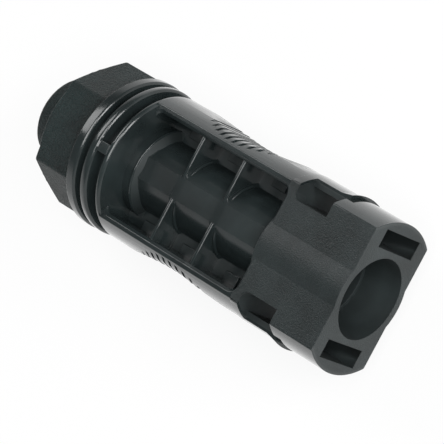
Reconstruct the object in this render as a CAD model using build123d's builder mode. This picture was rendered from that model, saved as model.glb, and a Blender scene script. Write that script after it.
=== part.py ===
from build123d import *
from math import asin, degrees, sqrt
import os

# Cable coupler for solar panels: the half that takes the mating nose and its two latches.
# One moulded housing, a crimp contact held by a spring clip, and a screwed cable gland.
# Millimetres. The origin is the centre of the mating face, +X points out of that face along
# the bore, and +Z is the outward normal of one of the two flat sides. A depth is a distance
# behind the mating face, measured along -X.

# Mating bore
bore_d = 10.1
bore_depth = 5.5
bore_step = 0.45
seal_bore_end = 12.4

# Front block: a round bar with two flats, and the wall of the bore bulging out of them
body_d = 19.0
flat_height = 11.2
block_length = 13.2
bore_wall = 1.0
block_edge_r = 0.3

# Latch slots, the notches that open them to the sides, and the window over each tongue
slot_wall = 0.8
slot_height = 7.0
slot_depth = 12.0
tongue_width = 6.0
tongue_thickness = 1.45
notch_start = 6.7
notch_corner_r = 1.0
window_start = 5.6
window_width = 7.6
tongue_lip = 0.3
tongue_lip_length = 1.5

# Grip: two shells beside a tube, with a pocket on each flat side
grip_step = 0.1
grip_length = 22.0
rim_width = 0.85
pocket_corner_r = 1.0
web_thickness = 2.2
lip_bevel = 0.35
tube_d = 9.5
land_sink = 0.55
land_width = 2.7
collar_d = 11.4
collar_length = 1.3
collar_bevel = 0.8
rib_thickness = 0.5
rib_depths = (20.7, 27.5)
rib_foot = 0.35
pad_length = 2.1
pad_width = 1.2
pad_height = 0.5
pad_depths = (17.3, 24.6, 31.2)

# Thumb scoop in the crown of each shell, with grip grooves across it
scoop_centre = 24.0
scoop_length = 16.0
scoop_sink = 0.75
grip_grooves = 10
grip_groove_pitch = 1.05
grip_groove_depth = 0.35

# Rings between the grip and the gland, from front to rear
end_wall = 0.6
groove_width = 1.55
groove_sink = 1.7
thin_ring = 0.95
thin_ring_rise = 0.1
ring_gap = 1.0
ring_gap_sink = 1.0
flange = 1.3
flange_rise = 0.2
ring_bevel = 0.25
bridge_width = 1.3
bridge_sink = 0.15

# Threaded spigot and the gland chamber in it
spigot_d = 12.6
spigot_length = 4.8
spigot_wall = 0.85
chamber_wall = 0.4

# Gland nut: a hexagon with two wide flats, and a cone and a collar behind it
nut_wall = 0.9
nut_narrow_rise = 0.75
nut_turn = 2.9
nut_gap = 0.3
nut_hex_length = 6.2
nut_corner_r = 0.5
nut_rear_bevel = 0.35
nut_cone_length = 2.4
nut_collar_wall = 1.0
nut_collar_length = 2.0
nut_collar_bevel = 0.45
thread_room = 0.3
thread_end_gap = 0.4
cable_hole_d = 8.4
cable_hole_length = 4.7

# Clamp cage: a ring with spring claws that the nut squeezes onto the cable
cage_clearance = 0.15
cage_wall = 0.8
cage_seat = 0.5
cage_taper = 0.8
claw_count = 6
claw_slot = 0.9
claw_length = 5.2
nut_seat_gap = 0.25

# Rubber cable seal inside the cage
seal_clearance = 0.12
seal_hole_d = 6.2
seal_length = 9.4
seal_groove_depth = 0.35
seal_groove_width = 1.8
seal_grooves = 2

# Contact: a turned pin with a crimp barrel
pin_d = 4.0
pin_tip_depth = 7.6
pin_tip_d = 2.2
pin_tip_length = 1.2
pin_hole_clearance = 0.2
contact_web = 2.6
shoulder_rise = 0.7
shoulder_length = 1.2
waist_d = 4.0
waist_length = 4.4
barrel_d = 5.0
barrel_length = 12.6
crimp_hole_d = 3.4
crimp_hole_depth = 9.5
peep_hole_d = 1.2
neck_clearance = 0.15

# Spring clip around the contact's waist
clip_clearance = 0.05
clip_wall = 0.25
clip_end_gap = 0.1
clip_split = 0.9
tine_width = 1.8
tine_root = 1.0
tine_rise = 0.75
recess_clearance = 0.3

# Sizes that follow from those above
seal_bore_d = bore_d - 2 * bore_step
bulge_d = bore_d + 2 * bore_wall
slot_floor = bore_d / 2 + slot_wall
slot_width = body_d / 2 - tongue_thickness - slot_floor
grip_d = body_d - 2 * grip_step
wall_gap = 2 * (sqrt((grip_d / 2) ** 2 - (flat_height / 2) ** 2) - rim_width)
land_height = flat_height - 2 * land_sink
groove_d = body_d - 2 * groove_sink
thin_ring_d = body_d + 2 * thin_ring_rise
ring_gap_d = body_d - 2 * ring_gap_sink
flange_d = body_d + 2 * flange_rise
bridge_d = body_d - 2 * bridge_sink
chamber_d = spigot_d - 2 * spigot_wall
thread_bore_d = spigot_d + 2 * thread_room
nut_wide_flats = thread_bore_d + 2 * nut_wall
nut_narrow_flats = nut_wide_flats + 2 * nut_narrow_rise
nut_corner_d = 2 * nut_narrow_flats / sqrt(3)
nut_collar_d = cable_hole_d + 2 * nut_collar_wall
shoulder_d = pin_d + 2 * shoulder_rise
neck_d = shoulder_d + 2 * neck_clearance
clip_r = waist_d / 2 + clip_clearance
recess_d = 2 * (clip_r + tine_rise + clip_wall + recess_clearance)

# Places that follow
slot_offset = slot_floor + slot_width / 2
grip_end = block_length + grip_length
collar_start = grip_end - collar_length
groove_start = grip_end + end_wall
thin_ring_start = groove_start + groove_width
gap_start = thin_ring_start + thin_ring
flange_start = gap_start + ring_gap
spigot_start = flange_start + flange
spigot_end = spigot_start + spigot_length
web_end = seal_bore_end + contact_web
recess_end = web_end + shoulder_length + waist_length
chamber_start = grip_end + chamber_wall
lip_sweep = 3 * degrees(asin(tongue_width / body_d))

# Cutters run this far past what they cut, and edges are picked to within this distance
beyond = body_d
pick = 0.01


def section(depth):
    # Plane across the bore at a depth, with its own x along Y and its own y along Z
    return Plane.YZ.offset(-depth)


# Housing
with BuildPart() as housing:
    # Front block
    with BuildSketch(section(0)) as block_face:
        Circle(body_d / 2)
        Rectangle(body_d, flat_height, mode=Mode.INTERSECT)
        fillet(block_face.vertices(), block_edge_r)
        Circle(bulge_d / 2)
    extrude(amount=-block_length)

    # Grip bar with a thumb scoop in each crown
    with BuildSketch(section(block_length)):
        Circle(grip_d / 2)
        Rectangle(grip_d, flat_height, mode=Mode.INTERSECT)
    extrude(amount=-grip_length)
    scoop_r = ((scoop_length / 2) ** 2 + scoop_sink**2) / (2 * scoop_sink)
    scoop_y = grip_d / 2 - scoop_sink + scoop_r
    with BuildSketch(Plane.XY):
        with Locations((-scoop_centre, scoop_y)):
            Circle(scoop_r)
        for i in range(grip_grooves):
            along = (i - (grip_grooves - 1) / 2) * grip_groove_pitch
            with Locations((along - scoop_centre, scoop_y - sqrt(scoop_r**2 - along**2))):
                RegularPolygon(grip_groove_depth, 4)
        mirror(about=Plane.XZ)
    extrude(amount=beyond, both=True, mode=Mode.SUBTRACT)

    # Pockets, one on each flat side of a central web
    for side in (1, -1):
        with BuildSketch(Plane.XY.offset(side * web_thickness / 2)):
            with Locations((-(block_length + grip_end) / 2, 0)):
                RectangleRounded(grip_length, wall_gap, pocket_corner_r)
        extrude(amount=side * beyond, mode=Mode.SUBTRACT)
    lips = housing.edges().filter_by(
        lambda e: -grip_end + pick < e.center().X < -block_length
        and abs(abs(e.center().Z) - flat_height / 2) < pick
        and abs(e.center().Y) < wall_gap / 2 + pick
    )
    chamfer(lips, lip_bevel)

    # Tube with a flat land on each side, cross ribs and floor pads
    with BuildSketch(section(block_length)):
        Circle(tube_d / 2)
        Rectangle(land_width, land_height)
        make_hull()
    extrude(amount=-grip_length)
    for depth in rib_depths:
        with BuildSketch(section(depth - rib_thickness / 2)):
            Rectangle(wall_gap, land_height)
        extrude(amount=-rib_thickness)
    rib_feet = housing.edges().filter_by(
        lambda e: land_width / 2 < abs(e.center().Y) < tube_d / 2
        and web_thickness / 2 < abs(e.center().Z) < land_height / 2 - pick
        and any(abs(abs(e.center().X + depth) - rib_thickness / 2) < pick for depth in rib_depths)
    )
    chamfer(rib_feet, rib_foot)
    with BuildSketch(Plane.XY):
        pad_y = (wall_gap - pad_width) / 2
        with Locations([(-depth, side * pad_y) for depth in pad_depths for side in (1, -1)]):
            Rectangle(pad_length, pad_width)
    extrude(amount=web_thickness / 2 + pad_height, both=True)

    # Collar behind the tube, end wall, rings and spigot, with the crowns run over the wall's bevel
    with BuildSketch(Plane.XY) as rear:
        with BuildLine():
            Polyline(
                (-collar_start + collar_bevel, 0),
                (-collar_start + collar_bevel, tube_d / 2),
                (-collar_start, collar_d / 2),
                (-grip_end, collar_d / 2),
                (-grip_end, grip_d / 2),
                (-groove_start, grip_d / 2),
                (-groove_start, groove_d / 2),
                (-thin_ring_start, groove_d / 2),
                (-thin_ring_start, thin_ring_d / 2),
                (-gap_start, thin_ring_d / 2),
                (-gap_start, ring_gap_d / 2),
                (-flange_start, ring_gap_d / 2),
                (-flange_start, flange_d / 2),
                (-spigot_start, flange_d / 2),
                (-spigot_start, spigot_d / 2),
                (-spigot_end, spigot_d / 2),
                (-spigot_end, 0),
                close=True,
            )
        make_face()
        front_corners = rear.vertices().filter_by(
            lambda v: v.Y > grip_d / 2 - pick
            and any(abs(v.X + depth) < pick for depth in (grip_end, thin_ring_start, flange_start))
        )
        chamfer(front_corners, ring_bevel)
    revolve(axis=Axis.X)
    with BuildSketch(section(grip_end)):
        Circle(grip_d / 2)
        Rectangle(grip_d, flat_height, mode=Mode.INTERSECT)
    extrude(amount=-ring_bevel)
    with BuildSketch(section(groove_start)):
        with Locations((0, (groove_d + bridge_d) / 4), (0, -(groove_d + bridge_d) / 4)):
            Rectangle(bridge_width, (bridge_d - groove_d) / 2 + ring_bevel)
    extrude(amount=-groove_width)

    # Bores along the axis: mating bore, seal bore, pin hole, clip recess, neck, gland chamber
    with BuildSketch(Plane.XY):
        with BuildLine():
            Polyline(
                (0, 0),
                (0, bore_d / 2),
                (-bore_depth, bore_d / 2),
                (-bore_depth, seal_bore_d / 2),
                (-seal_bore_end, seal_bore_d / 2),
                (-seal_bore_end, pin_d / 2 + pin_hole_clearance),
                (-web_end, pin_d / 2 + pin_hole_clearance),
                (-web_end, recess_d / 2),
                (-recess_end, recess_d / 2),
                (-recess_end, neck_d / 2),
                (-chamber_start, neck_d / 2),
                (-chamber_start, chamber_d / 2),
                (-spigot_end, chamber_d / 2),
                (-spigot_end, 0),
                close=True,
            )
        make_face()
    revolve(axis=Axis.X, mode=Mode.SUBTRACT)

    # Raised lip around the free end of each tongue, which the notches trim to its width
    for start in (-lip_sweep / 2, 180 - lip_sweep / 2):
        with BuildSketch(Plane.XY.rotated((start, 0, 0))):
            with BuildLine():
                Polyline(
                    (-notch_start, body_d / 2 - tongue_lip),
                    (-notch_start, body_d / 2 + tongue_lip),
                    (-notch_start - tongue_lip_length, body_d / 2),
                    (-notch_start - tongue_lip_length, body_d / 2 - tongue_lip),
                    close=True,
                )
            make_face()
        revolve(axis=Axis.X, revolution_arc=lip_sweep)

    # Latch slots
    with BuildSketch(section(0)):
        with Locations((slot_offset, 0), (-slot_offset, 0)):
            Rectangle(slot_width, slot_height)
    extrude(amount=-slot_depth, mode=Mode.SUBTRACT)

    # Corner notches beside the tongues, then the window in front of each tongue
    notch_x = -(notch_start + slot_depth) / 2
    notch_y = slot_floor + beyond / 2
    for side in (1, -1):
        with BuildSketch(Plane.XY.offset(side * tongue_width / 2)) as notches:
            with Locations((notch_x, notch_y), (notch_x, -notch_y)):
                Rectangle(slot_depth - notch_start, beyond)
            fillet(notches.vertices().group_by(Axis.X)[0], notch_corner_r)
        extrude(amount=side * beyond, mode=Mode.SUBTRACT)
    with BuildSketch(section(window_start)):
        with Locations((notch_y, 0), (-notch_y, 0)):
            Rectangle(beyond, window_width)
    extrude(amount=-(notch_start - window_start), mode=Mode.SUBTRACT)

# Gland nut
nut_front = spigot_start + nut_gap
nut_hex_end = nut_front + nut_hex_length
nut_cone_end = nut_hex_end + nut_cone_length
nut_end = nut_cone_end + nut_collar_length
cage_r = chamber_d / 2 - cage_clearance
nut_seat_end = nut_end - cable_hole_length
nut_seat_start = nut_seat_end - cage_taper
with BuildPart() as gland_nut:
    with BuildSketch(section(nut_front)) as hexagon:
        RegularPolygon(nut_narrow_flats / 2, 6, major_radius=False, rotation=nut_turn)
        Rectangle(2 * beyond, nut_wide_flats, rotation=nut_turn, mode=Mode.INTERSECT)
        fillet(hexagon.vertices(), nut_corner_r)
    extrude(amount=nut_front - nut_end)
    with BuildSketch(Plane.XY):
        with BuildLine():
            Polyline(
                (-nut_front, 0),
                (-nut_front, nut_corner_d / 2),
                (-nut_hex_end + nut_rear_bevel, nut_corner_d / 2),
                (-nut_hex_end, nut_narrow_flats / 2),
                (-nut_cone_end, nut_collar_d / 2),
                (-nut_end + nut_collar_bevel, nut_collar_d / 2),
                (-nut_end, nut_collar_d / 2 - nut_collar_bevel),
                (-nut_end, 0),
                close=True,
            )
        make_face()
    revolve(axis=Axis.X, mode=Mode.INTERSECT)
    with BuildSketch(Plane.XY):
        with BuildLine():
            Polyline(
                (-nut_front, 0),
                (-nut_front, thread_bore_d / 2),
                (-spigot_end - thread_end_gap, thread_bore_d / 2),
                (-spigot_end - thread_end_gap, cage_r + cage_clearance),
                (-nut_seat_start, cage_r + cage_clearance),
                (-nut_seat_end, cage_r + cage_clearance - cage_taper),
                (-nut_seat_end, cable_hole_d / 2),
                (-nut_end, cable_hole_d / 2),
                (-nut_end, 0),
                close=True,
            )
        make_face()
    revolve(axis=Axis.X, mode=Mode.SUBTRACT)

# Clamp cage
cage_front = chamber_start + cage_clearance
cage_end = nut_seat_end - nut_seat_gap
cage_bore_r = cage_r - cage_wall
with BuildPart() as clamp_cage:
    with BuildSketch(Plane.XY):
        with BuildLine():
            Polyline(
                (-cage_front, seal_hole_d / 2),
                (-cage_front, cage_r),
                (-cage_end + cage_taper, cage_r),
                (-cage_end, cage_r - cage_taper),
                (-cage_end, cage_bore_r - cage_wall / 2),
                (-cage_end + cage_taper, cage_bore_r),
                (-cage_front - cage_seat, cage_bore_r),
                (-cage_front - cage_seat, seal_hole_d / 2),
                close=True,
            )
        make_face()
    revolve(axis=Axis.X)
    with BuildSketch(section(cage_end)):
        with PolarLocations(cage_r, claw_count):
            Rectangle(4 * cage_wall, claw_slot)
    extrude(amount=claw_length, mode=Mode.SUBTRACT)

# Cable seal
seal_front = cage_front + cage_seat
with BuildPart() as cable_seal:
    with BuildSketch(section(seal_front)):
        Circle(cage_bore_r - seal_clearance)
        Circle(seal_hole_d / 2, mode=Mode.SUBTRACT)
    extrude(amount=-seal_length)
    seal_pitch = seal_length / seal_grooves
    for i in range(seal_grooves):
        with BuildSketch(section(seal_front + (i + 0.5) * seal_pitch - seal_groove_width / 2)):
            Circle(seal_hole_d / 2 + seal_groove_depth)
        extrude(amount=-seal_groove_width, mode=Mode.SUBTRACT)

# Contact
waist_start = web_end + shoulder_length
barrel_start = waist_start + waist_length
barrel_end = barrel_start + barrel_length
with BuildPart() as contact:
    with BuildSketch(Plane.XY):
        with BuildLine():
            Polyline(
                (-pin_tip_depth, 0),
                (-pin_tip_depth, pin_tip_d / 2),
                (-pin_tip_depth - pin_tip_length, pin_d / 2),
                (-web_end, pin_d / 2),
                (-web_end, shoulder_d / 2),
                (-waist_start, shoulder_d / 2),
                (-waist_start, waist_d / 2),
                (-barrel_start, waist_d / 2),
                (-barrel_start, barrel_d / 2),
                (-barrel_end, barrel_d / 2),
                (-barrel_end, crimp_hole_d / 2),
                (-barrel_end + crimp_hole_depth, crimp_hole_d / 2),
                (-barrel_end + crimp_hole_depth, 0),
                close=True,
            )
        make_face()
    revolve(axis=Axis.X)
    with BuildSketch(Plane.XY):
        with Locations((-barrel_end + crimp_hole_depth - peep_hole_d, 0)):
            Circle(peep_hole_d / 2)
    extrude(amount=barrel_d, mode=Mode.SUBTRACT)

# Contact clip
clip_start = waist_start + clip_end_gap
clip_end = barrel_start - clip_end_gap
with BuildPart() as contact_clip:
    with BuildSketch(section(clip_start)):
        Circle(clip_r + clip_wall)
        Circle(clip_r, mode=Mode.SUBTRACT)
    extrude(amount=-(clip_end - clip_start))
    with BuildSketch(section(clip_start)):
        with Locations((0, -clip_r)):
            Rectangle(clip_split, 4 * clip_wall)
    extrude(amount=-(clip_end - clip_start), mode=Mode.SUBTRACT)
    with BuildSketch(Plane.XY):
        with BuildLine():
            Polyline(
                (-clip_start - tine_root, clip_r),
                (-clip_end, clip_r + tine_rise),
                (-clip_end, clip_r + tine_rise + clip_wall),
                (-clip_start - tine_root, clip_r + clip_wall),
                close=True,
            )
        make_face()
        mirror(about=Plane.XZ)
    extrude(amount=tine_width / 2, both=True)

os.makedirs("parts", exist_ok=True)
pieces = {
    "housing": housing,
    "gland_nut": gland_nut,
    "clamp_cage": clamp_cage,
    "cable_seal": cable_seal,
    "contact": contact,
    "contact_clip": contact_clip,
}
for name, piece in pieces.items():
    piece.part.label = name
    export_step(piece.part, f"parts/{name}.step")
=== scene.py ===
from math import cos, radians, sin, tau

import bmesh
import bpy
from mathutils import Matrix, Vector


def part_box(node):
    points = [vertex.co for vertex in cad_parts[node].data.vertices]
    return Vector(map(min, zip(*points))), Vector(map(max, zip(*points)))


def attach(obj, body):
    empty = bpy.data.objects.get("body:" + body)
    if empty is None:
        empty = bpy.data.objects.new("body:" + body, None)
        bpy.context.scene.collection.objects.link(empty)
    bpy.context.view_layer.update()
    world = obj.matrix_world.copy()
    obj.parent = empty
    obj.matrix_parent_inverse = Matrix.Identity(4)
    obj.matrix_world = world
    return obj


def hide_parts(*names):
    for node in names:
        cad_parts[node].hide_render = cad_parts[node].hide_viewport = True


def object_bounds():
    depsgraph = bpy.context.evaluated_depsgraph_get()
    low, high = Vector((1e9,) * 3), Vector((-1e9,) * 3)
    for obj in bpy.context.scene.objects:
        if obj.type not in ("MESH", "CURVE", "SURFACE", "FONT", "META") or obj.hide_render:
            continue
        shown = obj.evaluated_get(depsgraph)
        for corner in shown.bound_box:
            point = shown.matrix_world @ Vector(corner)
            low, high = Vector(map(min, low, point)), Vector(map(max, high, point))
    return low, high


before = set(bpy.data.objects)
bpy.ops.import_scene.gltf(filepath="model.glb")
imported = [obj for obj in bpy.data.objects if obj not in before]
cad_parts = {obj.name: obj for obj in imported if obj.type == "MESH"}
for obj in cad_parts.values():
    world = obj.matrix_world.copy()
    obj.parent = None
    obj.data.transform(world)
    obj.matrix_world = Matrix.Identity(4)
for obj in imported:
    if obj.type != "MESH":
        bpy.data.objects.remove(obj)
cad_low, cad_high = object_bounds()

# Lengths are in metres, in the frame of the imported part: +X comes out of the mating face
# along the bore, and +Z is the outward normal of the flat side that the camera sees.
mm = 0.001

# How a moulded or turned piece is finished: points closer than weld are joined, faces flatter
# than flat_fold are merged, edges folded more than crisp_fold are shaded crisp, and outer edges
# folded more than round_fold are rounded
weld = 0.002 * mm
flat_fold = radians(0.6)
crisp_fold = radians(20)
round_fold = radians(32)
round_steps = 2

# Where edges on the housing stay as they are: along X, and from how far out in Y
notch_stretch = (-12.6 * mm, -5.4 * mm)
notch_side = 5.6 * mm
grip_stretch = (-30.0 * mm, -18.0 * mm)
grip_side = 7.75 * mm

# Gland thread: a ridge on the spigot, inside the room that the nut leaves for it
nut_gap = 0.3 * mm
spigot_radius = 6.3 * mm
thread_pitch = 1.5 * mm
thread_height = 0.22 * mm
thread_foot = 1.1 * mm
thread_root = 0.06 * mm
thread_lead_in = 0.45 * mm
thread_edge = 0.05 * mm
thread_steps = 72

# Thumb scoops: the shoulders of each scoop are rounded off, and its grip grooves carry on over them
scoop_middle = -24.0 * mm
scoop_top = 8.88 * mm
scoop_bend = 16.0 * mm
scoop_bow = 26.0 * mm
scoop_run = 8.0 * mm
scoop_reach = radians(25)
scoop_steps = 24
groove_count = 10
groove_pitch = 1.05 * mm
groove_width = 0.42 * mm
groove_depth = 0.25 * mm
groove_clear = 0.75 * mm

# Rounded tops of the cross ribs, from the tube's land to the pocket's wall, and the beads at their feet
land_half = 1.35 * mm
land_height = 5.05 * mm
rib_places = (-20.7 * mm, -27.5 * mm)
rib_half = 0.24 * mm
rib_crown = 0.16 * mm
rib_end = 6.75 * mm
rib_steps = 20
foot_half = 0.22 * mm
foot_rise = 0.15 * mm
foot_start = radians(18)
foot_sweep = radians(46)
foot_steps = 24
bead_steps = 12

# Rounded shoulders of the tube, beside its lands, with a hidden side sunk towards the axis
tube_start = -13.0 * mm
tube_end = -33.3 * mm
tube_radius = 4.75 * mm
shoulder_bulge = 0.14 * mm
shoulder_foot = radians(44)
shoulder_sink = 0.94
shoulder_steps = 8

# Rounded rim of the collar at the rear end of the tube
collar_place = -33.9 * mm
collar_radius = 5.7 * mm
rim_half = 0.17 * mm
rim_steps = 96

# Where the housing's finish changes, as the stretch that it fades over: along X for the front block,
# the mating face and the collar's cone, along Z for the flats, from the axis for the crowns and the
# edge of the cone, and from their middle for the ribs and the rim
block_fade = (-13.3 * mm, -13.1 * mm)
face_fade = (-0.12 * mm, -0.02 * mm)
cone_fade = (-33.2 * mm, -33.1 * mm)
flat_fade = (5.45 * mm, 5.58 * mm)
crown_fade = (9.0 * mm, 9.3 * mm)
cone_edge_fade = (5.55 * mm, 5.65 * mm)
rib_fade = (0.55 * mm, 0.62 * mm)
rim_fade = (0.18 * mm, 0.25 * mm)

# Roughness of the housing's finishes, and the share of the grain that its other faces keep
polished_roughness = 0.17
pocket_roughness = 0.23
dull_roughness = 0.65
grained_roughness = 0.39
pocket_grain = 0.08

# Middle of a noise's range, and how much of the grain shows in the shade of a moulded skin
noise_middle = 0.5
mottle_share = 0.9

# Turned and plated metal: how far its cloud changes the colour and the roughness, and its fine lines
cloud_tint = 0.25
cloud_rub = 0.2
line_depth = 0.01 * mm
line_strength = 0.35

# Pale floor, and the camera fitted to the photo's edges
floor_reach = 4.0
floor_gap = 0.02 * mm
floor_steps = 64
floor_colour = (0.86, 0.86, 0.86, 1.0)
floor_glow = 0.88
camera_place = Vector((0.190816, 0.027193, 0.289719))
camera_right = Vector((0.68864, 0.46701, -0.55468))
camera_up = Vector((-0.41797, 0.88076, 0.22264))
focal_pixels = 3102.09
image_pixels = 444
sensor_mm = 36.0
clip_near = 0.01


# Node groups and materials


def new_group(name, inputs, outputs):
    group = bpy.data.node_groups.new(name, "ShaderNodeTree")
    for label, kind, value in inputs:
        socket = group.interface.new_socket(label, in_out="INPUT", socket_type=kind)
        socket.default_value = value
    for label, kind in outputs:
        group.interface.new_socket(label, in_out="OUTPUT", socket_type=kind)
    return group, group.nodes.new("NodeGroupInput"), group.nodes.new("NodeGroupOutput")


def feed(tree, value, socket):
    # A number is set on the socket, and another node's output is linked to it
    if isinstance(value, (int, float)):
        socket.default_value = value
    else:
        tree.links.new(value, socket)


def math_node(tree, operation, *values):
    node = tree.nodes.new("ShaderNodeMath")
    node.operation = operation
    for value, socket in zip(values, node.inputs):
        feed(tree, value, socket)
    return node.outputs["Value"]


def most_node(tree, first, *others):
    for other in others:
        first = math_node(tree, "MAXIMUM", first, other)
    return first


def off_node(tree, value, place):
    # How far the value is from the place, to either side
    return math_node(tree, "ABSOLUTE", math_node(tree, "SUBTRACT", value, place))


def noise_node(tree, place, scale, detail, roughness=0.5):
    node = tree.nodes.new("ShaderNodeTexNoise")
    node.inputs["Detail"].default_value = detail
    node.inputs["Roughness"].default_value = roughness
    tree.links.new(place, node.inputs["Vector"])
    feed(tree, scale, node.inputs["Scale"])
    return node.outputs["Fac"]


def band_node(tree, value, low, high, to_low, to_high):
    node = tree.nodes.new("ShaderNodeMapRange")
    node.interpolation_type = "SMOOTHSTEP"
    tree.links.new(value, node.inputs["Value"])
    for label, number in (("From Min", low), ("From Max", high), ("To Min", to_low), ("To Max", to_high)):
        node.inputs[label].default_value = number
    return node.outputs["Result"]


def rise_node(tree, value, fade):
    return band_node(tree, value, *fade, 0.0, 1.0)


def fall_node(tree, value, fade):
    return band_node(tree, value, *fade, 1.0, 0.0)


def mix_node(tree, share, first, second):
    node = tree.nodes.new("ShaderNodeMix")
    node.data_type = "FLOAT"
    tree.links.new(share, node.inputs["Factor"])
    tree.links.new(first, node.inputs["A"])
    node.inputs["B"].default_value = second
    return node.outputs["Result"]


def moulded_skin():
    # Spark-eroded grain, slow flow shading and fine rubbing that every moulded piece shares
    group, given, made = new_group(
        "moulded skin",
        [
            ("Place", "NodeSocketVector", (0, 0, 0)),
            ("Grain Scale", "NodeSocketFloat", 4500.0),
            ("Grain", "NodeSocketFloat", 1.0),
        ],
        [
            ("Height", "NodeSocketFloat"),
            ("Shade", "NodeSocketFloat"),
            ("Rub", "NodeSocketFloat"),
        ],
    )
    place, scale, grain = (given.outputs[n] for n in ("Place", "Grain Scale", "Grain"))
    pits = noise_node(group, place, scale, detail=3.0, roughness=0.6)
    flow = noise_node(group, place, scale=160.0, detail=3.0, roughness=0.55)
    rub = noise_node(group, place, scale=700.0, detail=4.0, roughness=0.65)
    group.links.new(math_node(group, "MULTIPLY", pits, grain), made.inputs["Height"])
    mottle = math_node(group, "MULTIPLY", math_node(group, "SUBTRACT", pits, noise_middle), grain)
    slow = math_node(group, "SUBTRACT", flow, noise_middle)
    shade = math_node(group, "ADD", math_node(group, "MULTIPLY", mottle, mottle_share), slow)
    group.links.new(shade, made.inputs["Shade"])
    group.links.new(math_node(group, "SUBTRACT", rub, noise_middle), made.inputs["Rub"])
    return group


def turned_skin():
    # Fine lines round the axis of a turned or plated piece, with a slow cloud over them
    group, given, made = new_group(
        "turned skin",
        [("Place", "NodeSocketVector", (0, 0, 0)), ("Line Scale", "NodeSocketFloat", 6000.0)],
        [("Height", "NodeSocketFloat"), ("Cloud", "NodeSocketFloat")],
    )
    place = given.outputs["Place"]
    along = group.nodes.new("ShaderNodeSeparateXYZ")
    group.links.new(place, along.inputs["Vector"])
    lines = group.nodes.new("ShaderNodeTexNoise")
    lines.noise_dimensions = "1D"
    lines.inputs["Detail"].default_value = 3.0
    group.links.new(along.outputs["X"], lines.inputs["W"])
    group.links.new(given.outputs["Line Scale"], lines.inputs["Scale"])
    group.links.new(lines.outputs["Fac"], made.inputs["Height"])
    cloud = noise_node(group, place, scale=500.0, detail=3.0)
    group.links.new(math_node(group, "SUBTRACT", cloud, noise_middle), made.inputs["Cloud"])
    return group


def new_material(name):
    material = bpy.data.materials.new(name)
    material.use_nodes = True
    tree = material.node_tree
    shader = tree.nodes["Principled BSDF"]
    place = tree.nodes.new("ShaderNodeTexCoord").outputs["Object"]
    return material, tree, shader, place


def tint_node(tree, shader, colour, shade, strength):
    # The colour made a little darker or lighter where the shade is below or above zero
    light = math_node(tree, "ADD", math_node(tree, "MULTIPLY", shade, strength), 1.0)
    mix = tree.nodes.new("ShaderNodeMix")
    mix.data_type = "RGBA"
    mix.blend_type = "MULTIPLY"
    mix.inputs["Factor"].default_value = 1.0
    mix.inputs["A"].default_value = (*colour, 1.0)
    tree.links.new(light, mix.inputs["B"])
    tree.links.new(mix.outputs["Result"], shader.inputs["Base Color"])


def bump_node(tree, shader, height, depth, strength):
    bump = tree.nodes.new("ShaderNodeBump")
    bump.inputs["Distance"].default_value = depth
    bump.inputs["Strength"].default_value = strength
    tree.links.new(height, bump.inputs["Height"])
    tree.links.new(bump.outputs["Normal"], shader.inputs["Normal"])


def skin_node(tree, group, place, **values):
    node = tree.nodes.new("ShaderNodeGroup")
    node.node_tree = group
    tree.links.new(place, node.inputs["Place"])
    for label, value in values.items():
        feed(tree, value, node.inputs[label.replace("_", " ")])
    return node


def lay_skin(tree, shader, place, skin, colour, tint, roughness, rub, scale, grain, depth, strength):
    # The shared skin of moulded pieces, with this piece's own colour, roughness and grain
    surface = skin_node(tree, skin, place, Grain_Scale=scale, Grain=grain)
    tint_node(tree, shader, colour, surface.outputs["Shade"], tint)
    rubbed = math_node(tree, "MULTIPLY", surface.outputs["Rub"], rub)
    tree.links.new(math_node(tree, "ADD", rubbed, roughness), shader.inputs["Roughness"])
    bump_node(tree, shader, surface.outputs["Height"], depth, strength)


def housing_plastic(skin):
    # Black polyamide: polished on the crowns, rings, ribs and collar's rim, plain in the pockets, dull in
    # the front block's holes and on the collar's cone, and grained on the block's flats and mating face
    material, tree, shader, place = new_material("housing_plastic")
    axes = tree.nodes.new("ShaderNodeSeparateXYZ")
    tree.links.new(place, axes.inputs["Vector"])
    x, y, z = (axes.outputs[axis] for axis in "XYZ")
    squares = [math_node(tree, "MULTIPLY", axis, axis) for axis in (y, z)]
    radius = math_node(tree, "SQRT", math_node(tree, "ADD", *squares))

    in_block = rise_node(tree, x, block_fade)
    at_flat = rise_node(tree, math_node(tree, "ABSOLUTE", z), flat_fade)
    on_face = rise_node(tree, x, face_fade)
    grained = most_node(tree, math_node(tree, "MULTIPLY", in_block, at_flat), on_face)
    behind, under_edge = fall_node(tree, x, cone_fade), fall_node(tree, radius, cone_edge_fade)
    dull = most_node(tree, in_block, math_node(tree, "MULTIPLY", behind, under_edge))
    at_rim, over_edge = off_node(tree, x, collar_place), rise_node(tree, radius, cone_edge_fade)
    on_rim = math_node(tree, "MULTIPLY", fall_node(tree, at_rim, rim_fade), over_edge)
    on_ribs = [fall_node(tree, off_node(tree, x, rib), rib_fade) for rib in rib_places]
    polished = most_node(tree, rise_node(tree, radius, crown_fade), *on_ribs, on_rim)

    inner = band_node(tree, dull, 0.0, 1.0, pocket_roughness, dull_roughness)
    smooth = mix_node(tree, polished, inner, polished_roughness)
    lay_skin(
        tree, shader, place, skin, colour=(0.0155, 0.0210, 0.0215), tint=1.6,
        roughness=mix_node(tree, grained, smooth, grained_roughness), rub=0.10, scale=6000.0,
        grain=band_node(tree, grained, 0.0, 1.0, pocket_grain, 1.0), depth=0.065 * mm, strength=0.75,
    )
    tree.links.new(polished, shader.inputs["Coat Weight"])
    shader.inputs["Coat IOR"].default_value = 1.2
    shader.inputs["Coat Roughness"].default_value = 0.12
    shader.inputs["Specular IOR Level"].default_value = 0.35
    return material


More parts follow.
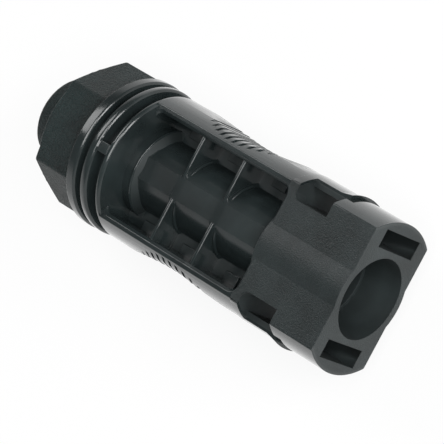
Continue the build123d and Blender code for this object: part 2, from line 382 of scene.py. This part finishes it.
def nut_plastic(skin):
    material, tree, shader, place = new_material("nut_plastic")
    lay_skin(
        tree, shader, place, skin, colour=(0.0055, 0.012, 0.012), tint=3.2, roughness=0.48, rub=0.16,
        scale=3400.0, grain=1.0, depth=0.38 * mm, strength=1.0,
    )
    shader.inputs["Specular IOR Level"].default_value = 0.27
    return material


def cage_plastic(skin):
    material, tree, shader, place = new_material("cage_plastic")
    lay_skin(
        tree, shader, place, skin, colour=(0.040, 0.042, 0.042), tint=0.8, roughness=0.42, rub=0.15,
        scale=5000.0, grain=0.4, depth=0.04 * mm, strength=0.4,
    )
    return material


def seal_rubber(skin):
    material, tree, shader, place = new_material("seal_rubber")
    lay_skin(
        tree, shader, place, skin, colour=(0.022, 0.022, 0.024), tint=0.8, roughness=0.68, rub=0.1,
        scale=7000.0, grain=0.7, depth=0.03 * mm, strength=0.5,
    )
    shader.inputs["Sheen Weight"].default_value = 0.15
    return material


def plated_metal(skin, name, colour, roughness, line_scale):
    material, tree, shader, place = new_material(name)
    surface = skin_node(tree, skin, place, Line_Scale=line_scale)
    tint_node(tree, shader, colour, surface.outputs["Cloud"], cloud_tint)
    cloud = math_node(tree, "MULTIPLY", surface.outputs["Cloud"], cloud_rub)
    tree.links.new(math_node(tree, "ADD", cloud, roughness), shader.inputs["Roughness"])
    shader.inputs["Metallic"].default_value = 1.0
    bump_node(tree, shader, surface.outputs["Height"], line_depth, line_strength)
    return material


# Pieces


def add_mesh(bm, name):
    mesh = bpy.data.meshes.new(name)
    bm.to_mesh(mesh)
    bm.free()
    made = bpy.data.objects.new(name, mesh)
    bpy.context.scene.collection.objects.link(made)
    return made


def add_piece(bm, name, body, material):
    piece = add_mesh(bm, name)
    piece.data.materials.append(material)
    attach(piece, body)
    normals = piece.modifiers.new("even normals", "WEIGHTED_NORMAL")
    normals.keep_sharp = True
    return piece


def crowded_nowhere(edge):
    return False


def crowded_on_housing(edge):
    # The latch notches and the grip grooves, whose faces are too narrow for a rounded edge, and the
    # edges of the tube's lands
    middle = (edge.verts[0].co + edge.verts[1].co) / 2
    side = abs(middle.y)
    notched = notch_stretch[0] < middle.x < notch_stretch[1] and side > notch_side
    grooved = grip_stretch[0] < middle.x < grip_stretch[1] and side > grip_side
    landed = abs(abs(middle.z) - land_height) < weld and abs(side - land_half) < weld
    return notched or grooved or landed


def round_edges(bm, width, crowded=crowded_nowhere):
    # Rounds the outer edges that stand clear, and marks the other folds crisp
    outer = []
    for edge in bm.edges:
        fold = edge.calc_face_angle(0.0)
        if fold > round_fold and edge.is_convex and not crowded(edge):
            outer.append(edge)
        elif fold > crisp_fold:
            edge.smooth = False
    bmesh.ops.bevel(
        bm, geom=outer, offset=width, offset_type="OFFSET", segments=round_steps, profile=0.5,
        affect="EDGES", clamp_overlap=False, material=-1, loop_slide=True,
    )


def in_order(bm):
    # The same shape with its points and faces in a fixed order, which cutting and extruding don't keep
    order = sorted(bm.verts, key=lambda point: point.co[:])
    rank = {point: i for i, point in enumerate(order)}
    loops = []
    for face in bm.faces:
        loop = [rank[point] for point in face.verts]
        first = loop.index(min(loop))
        loops.append(loop[first:] + loop[:first])
    ordered = bmesh.new()
    points = [ordered.verts.new(point.co) for point in order]
    for loop in sorted(loops):
        ordered.faces.new([points[i] for i in loop])
    ordered.normal_update()
    bm.free()
    return ordered


def mirror(bm, axes):
    # The shape with its mirror images, all facing outwards
    for axis in axes:
        bmesh.ops.mirror(bm, geom=bm.verts[:] + bm.edges[:] + bm.faces[:], merge_dist=0.0, axis=axis)
    bmesh.ops.recalc_face_normals(bm, faces=bm.faces)


def smoothed(bm, mirrored=""):
    # The shape on each side of the part, with its four-sided faces shaded smooth
    mirror(bm, mirrored)
    bm = in_order(bm)
    for face in bm.faces:
        face.smooth = len(face.verts) == 4
    return bm


def add_loop(bm, places):
    points = [bm.verts.new(place) for place in places]
    edges = [bm.edges.new(pair) for pair in zip(points, points[1:] + points[:1])]
    return points, edges


def add_circle(bm, half, place, steps, crown=None, capped=True):
    # A circle across the Y axis, or an ellipse that is flattened to the crown along Z
    points = bmesh.ops.create_circle(bm, cap_ends=capped, segments=steps, radius=half)["verts"]
    if crown:
        bmesh.ops.scale(bm, verts=points, vec=(1, crown / half, 1))
    bmesh.ops.rotate(bm, verts=points, cent=(0, 0, 0), matrix=Matrix.Rotation(radians(90), 3, "X"))
    bmesh.ops.translate(bm, verts=points, vec=place)


def draw_out(bm, along):
    # The flat faces drawn out into bars
    drawn = bmesh.ops.extrude_face_region(bm, geom=bm.faces[:])["geom"]
    ends = [item for item in drawn if isinstance(item, bmesh.types.BMVert)]
    bmesh.ops.translate(bm, verts=ends, vec=along)


def wind(bm, geom, angle, steps, centre=(0, 0, 0), advance=0.0, merge=False):
    # Spins the shape round a line along X, and moves it on along that line at each step
    bmesh.ops.spin(
        bm, geom=geom, cent=centre, axis=(1, 0, 0), angle=angle, dvec=(advance, 0, 0), steps=steps,
        use_merge=merge, use_normal_flip=False, use_duplicate=False,
    )


def bow(bm, places):
    # A bar of the given section, in X and Y, bent across the crown
    points, edges = add_loop(bm, [(x, y, 0) for x, y in places])
    centre = Vector((0, scoop_top - scoop_bend, 0))
    bmesh.ops.rotate(bm, verts=points, cent=centre, matrix=Matrix.Rotation(-scoop_reach, 3, "X"))
    wind(bm, points + edges, 2 * scoop_reach, scoop_steps, centre)


def on_both_crowns(bm):
    bmesh.ops.holes_fill(bm, edges=bm.edges, sides=0)
    mirror(bm, "Y")
    return bm


def scoop_height(along):
    return scoop_top + along**2 / (2 * scoop_bow)


def scoop_shoulders():
    # What is cut off the shoulders of the thumb scoops
    bm = bmesh.new()
    steps = [scoop_run * (i / scoop_steps * 2 - 1) for i in range(scoop_steps + 1)]
    floor = [(scoop_middle + along, scoop_height(along)) for along in steps]
    lid = scoop_height(scoop_run) + scoop_run
    bow(bm, floor + [(scoop_middle + scoop_run, lid), (scoop_middle - scoop_run, lid)])
    return on_both_crowns(bm)


def grip_grooves():
    # What is cut out for the grip grooves
    bm = bmesh.new()
    for i in range(groove_count):
        along = (i - (groove_count - 1) / 2) * groove_pitch
        front = scoop_middle + along + groove_width / 2
        back = front - groove_width
        floor = scoop_height(along) - groove_depth
        lid = floor + groove_clear
        bow(bm, [(front, floor), (front, lid), (back, lid), (back, floor)])
    return on_both_crowns(bm)


def carve(bm, cutter):
    # The shape less the cutter
    blank, tool = add_mesh(bm, "blank"), add_mesh(cutter, "cutter")
    cut = blank.modifiers.new("cut", "BOOLEAN")
    cut.operation = "DIFFERENCE"
    cut.solver = "EXACT"
    cut.object = tool
    carved = bpy.data.meshes.new_from_object(blank.evaluated_get(bpy.context.evaluated_depsgraph_get()))
    for spare in (blank, tool):
        bpy.data.meshes.remove(spare.data)
    bm = bmesh.new()
    bm.from_mesh(carved)
    bpy.data.meshes.remove(carved)
    return in_order(bm)


def dress(node, body, material, width, crowded=crowded_nowhere, cutters=()):
    # A copy of a CAD solid, welded into one skin, with its outer edges rounded
    bm = bmesh.new()
    bm.from_mesh(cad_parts[node].data)
    bmesh.ops.remove_doubles(bm, verts=bm.verts, dist=weld)
    for cutter in cutters:
        bm = carve(bm, cutter)
        bmesh.ops.remove_doubles(bm, verts=bm.verts, dist=weld)
    bmesh.ops.dissolve_limit(
        bm, angle_limit=flat_fold, use_dissolve_boundaries=False,
        verts=bm.verts, edges=bm.edges, delimit=set(),
    )
    for face in bm.faces:
        face.smooth = True
    round_edges(bm, width, crowded)
    piece = add_piece(bm, node + "_skin", body, material)
    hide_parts(node)


def rib_tops():
    # A rounded bead along the free edge of each rib, half sunk into it
    bm = bmesh.new()
    for x in rib_places:
        add_circle(bm, rib_half, (x, land_half, land_height), rib_steps, rib_crown)
    draw_out(bm, (0, rib_end - land_half, 0))
    bm = smoothed(bm, "YZ")
    round_edges(bm, rib_crown / 2)
    return bm


def rib_feet():
    # A rounded bead where each side of a rib meets the tube, from the land down to the floor
    bm = bmesh.new()
    for x in rib_places:
        for side in (1, -1):
            place = (x + side * (rib_half + foot_half), 0, tube_radius + foot_rise)
            add_circle(bm, foot_half, place, bead_steps)
    bmesh.ops.rotate(bm, verts=bm.verts, cent=(0, 0, 0), matrix=Matrix.Rotation(-foot_start, 3, "X"))
    wind(bm, bm.faces[:], -foot_sweep, foot_steps)
    return smoothed(bm, "YZ")


def tube_shoulders():
    # The tube's wall swelling gently from the edge of each land to the round of the tube
    land = Vector((0, land_half, land_height))
    foot = Vector((0, tube_radius * sin(shoulder_foot), tube_radius * cos(shoulder_foot)))
    out = Vector((0, land.z - foot.z, foot.y - land.y)).normalized() * shoulder_bulge
    bm = bmesh.new()
    steps = [i / shoulder_steps for i in range(shoulder_steps + 1)]
    outer = [bm.verts.new(land.lerp(foot, t) + out * (4 * t * (1 - t))) for t in steps]
    under = [bm.verts.new(place * shoulder_sink) for place in (foot, land)]
    bm.faces.new(outer + under)
    bmesh.ops.translate(bm, verts=bm.verts, vec=(tube_start, 0, 0))
    draw_out(bm, (tube_end - tube_start, 0, 0))
    bm = smoothed(bm, "YZ")
    for edge in bm.edges:
        edge.smooth = edge.calc_face_angle(0.0) < crisp_fold
    return bm


def collar_rim():
    # A rounded bead along the edge of the collar
    bm = bmesh.new()
    place = (collar_place - rim_half / 2, 0, collar_radius - rim_half / 2)
    add_circle(bm, rim_half, place, bead_steps, capped=False)
    wind(bm, bm.verts[:] + bm.edges[:], tau, rim_steps, merge=True)
    return smoothed(bm)


def gland_thread(start, end):
    # A right-hand ridge wound back along the spigot, with its front edge at the start
    turns = (start - end - thread_foot - thread_lead_in) / thread_pitch
    steps = round(turns * thread_steps)
    root = spigot_radius - thread_root
    front = start - thread_foot / 2
    bm = bmesh.new()
    points, edges = add_loop(bm, [
        (front + thread_foot / 2, 0, root),
        (front, 0, spigot_radius + thread_height),
        (front - thread_foot / 2, 0, root),
    ])
    wind(bm, points + edges, -tau * turns, steps, advance=-thread_pitch * turns / steps)
    bmesh.ops.holes_fill(bm, edges=bm.edges, sides=3)
    bm = smoothed(bm)
    round_edges(bm, thread_edge)
    return bm


# Sizes read from the frame
_, nut_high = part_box("gland_nut")
housing_low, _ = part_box("housing")

moulded, turned = moulded_skin(), turned_skin()
black = housing_plastic(moulded)
tin = plated_metal(turned, "contact_metal", (0.72, 0.71, 0.69), roughness=0.28, line_scale=6000.0)
steel = plated_metal(turned, "clip_steel", (0.62, 0.62, 0.61), roughness=0.33, line_scale=9000.0)
cutters = (scoop_shoulders(), grip_grooves())
dress(
    "housing", "body", black, width=0.07 * mm,
    crowded=crowded_on_housing, cutters=cutters,
)
dress("gland_nut", "nut", nut_plastic(moulded), width=0.14 * mm)
dress("clamp_cage", "clamp", cage_plastic(moulded), width=0.06 * mm)
dress("cable_seal", "clamp", seal_rubber(moulded), width=0.08 * mm)
dress("contact", "body", tin, width=0.04 * mm)
dress("contact_clip", "body", steel, width=0.03 * mm)
shapes_on_housing = {
    "rib_tops": rib_tops(),
    "rib_feet": rib_feet(),
    "tube_shoulders": tube_shoulders(),
    "collar_rim": collar_rim(),
    "gland_thread": gland_thread(nut_high.x + nut_gap, housing_low.x),
}
for name, shape in shapes_on_housing.items():
    add_piece(shape, name, "body", black)


# Studio


def add_floor():
    bm = bmesh.new()
    bmesh.ops.create_circle(bm, cap_ends=True, segments=floor_steps, radius=floor_reach)
    bmesh.ops.translate(bm, verts=bm.verts, vec=(0, 0, housing_low.z - floor_gap))
    floor = add_mesh(bm, "floor")
    material = bpy.data.materials.new("pale_floor")
    material.use_nodes = True
    tree = material.node_tree
    tree.nodes.clear()
    path = tree.nodes.new("ShaderNodeLightPath")
    rays = ("Is Camera Ray", "Is Glossy Ray", "Is Transmission Ray")
    seen = most_node(tree, *(path.outputs[ray] for ray in rays))
    diffuse = tree.nodes.new("ShaderNodeBsdfDiffuse")
    diffuse.inputs["Color"].default_value = floor_colour
    glow = tree.nodes.new("ShaderNodeEmission")
    glow.inputs["Strength"].default_value = 1.0
    mix = tree.nodes.new("ShaderNodeMixShader")
    tree.links.new(math_node(tree, "MULTIPLY", seen, floor_glow), mix.inputs["Fac"])
    tree.links.new(diffuse.outputs["BSDF"], mix.inputs[1])
    tree.links.new(glow.outputs["Emission"], mix.inputs[2])
    out = tree.nodes.new("ShaderNodeOutputMaterial")
    tree.links.new(mix.outputs["Shader"], out.inputs["Surface"])
    floor.data.materials.append(material)


def add_softbox(name, direction, distance, width, height, watts):
    lamp = bpy.data.lights.new(name, "AREA")
    lamp.shape = "RECTANGLE"
    lamp.size, lamp.size_y = width, height
    lamp.energy = watts
    box = bpy.data.objects.new(name, lamp)
    bpy.context.scene.collection.objects.link(box)
    centre = (cad_low + cad_high) / 2
    toward = Vector(direction).normalized()
    box.location = centre + toward * distance
    box.rotation_mode = "QUATERNION"
    box.rotation_quaternion = (-toward).to_track_quat("-Z", "Y")


def add_world(walls, ceiling, low, high, up):
    # Pale walls round the floor, with a dimmer ceiling that comes down lower on one side
    world = bpy.data.worlds.new("studio")
    bpy.context.scene.world = world
    world.use_nodes = True
    tree = world.node_tree
    height = tree.nodes.new("ShaderNodeVectorMath")
    height.operation = "DOT_PRODUCT"
    height.inputs[1].default_value = Vector(up).normalized()
    tree.links.new(tree.nodes.new("ShaderNodeTexCoord").outputs["Generated"], height.inputs[0])
    level = band_node(tree, height.outputs["Value"], low, high, walls, ceiling)
    tree.links.new(level, tree.nodes["Background"].inputs["Color"])


def add_camera():
    data = bpy.data.cameras.new("camera")
    data.lens = focal_pixels * sensor_mm / image_pixels
    data.sensor_width = sensor_mm
    data.clip_start, data.clip_end = clip_near, 2 * floor_reach
    camera = bpy.data.objects.new("camera", data)
    bpy.context.scene.collection.objects.link(camera)
    back = camera_right.cross(camera_up)
    turn = Matrix((camera_right, camera_up, back)).transposed()
    camera.matrix_world = Matrix.Translation(camera_place) @ turn.to_4x4()
    bpy.context.scene.camera = camera


add_floor()
add_softbox("back_softbox", (-0.63, 0.30, 0.71), distance=0.5, width=0.30, height=0.16, watts=0.85)
add_softbox("front_fill", (0.58, 0.05, 0.81), distance=0.6, width=0.36, height=0.36, watts=3.0)
add_softbox("side_softbox", (0.80, 0.42, 0.42), distance=0.6, width=0.22, height=0.18, watts=1.6)
add_world(walls=1.0, ceiling=0.12, low=0.10, high=0.46, up=(0.0, 0.20, 0.98))
add_camera()
bpy.context.scene.view_settings.view_transform = "Standard"
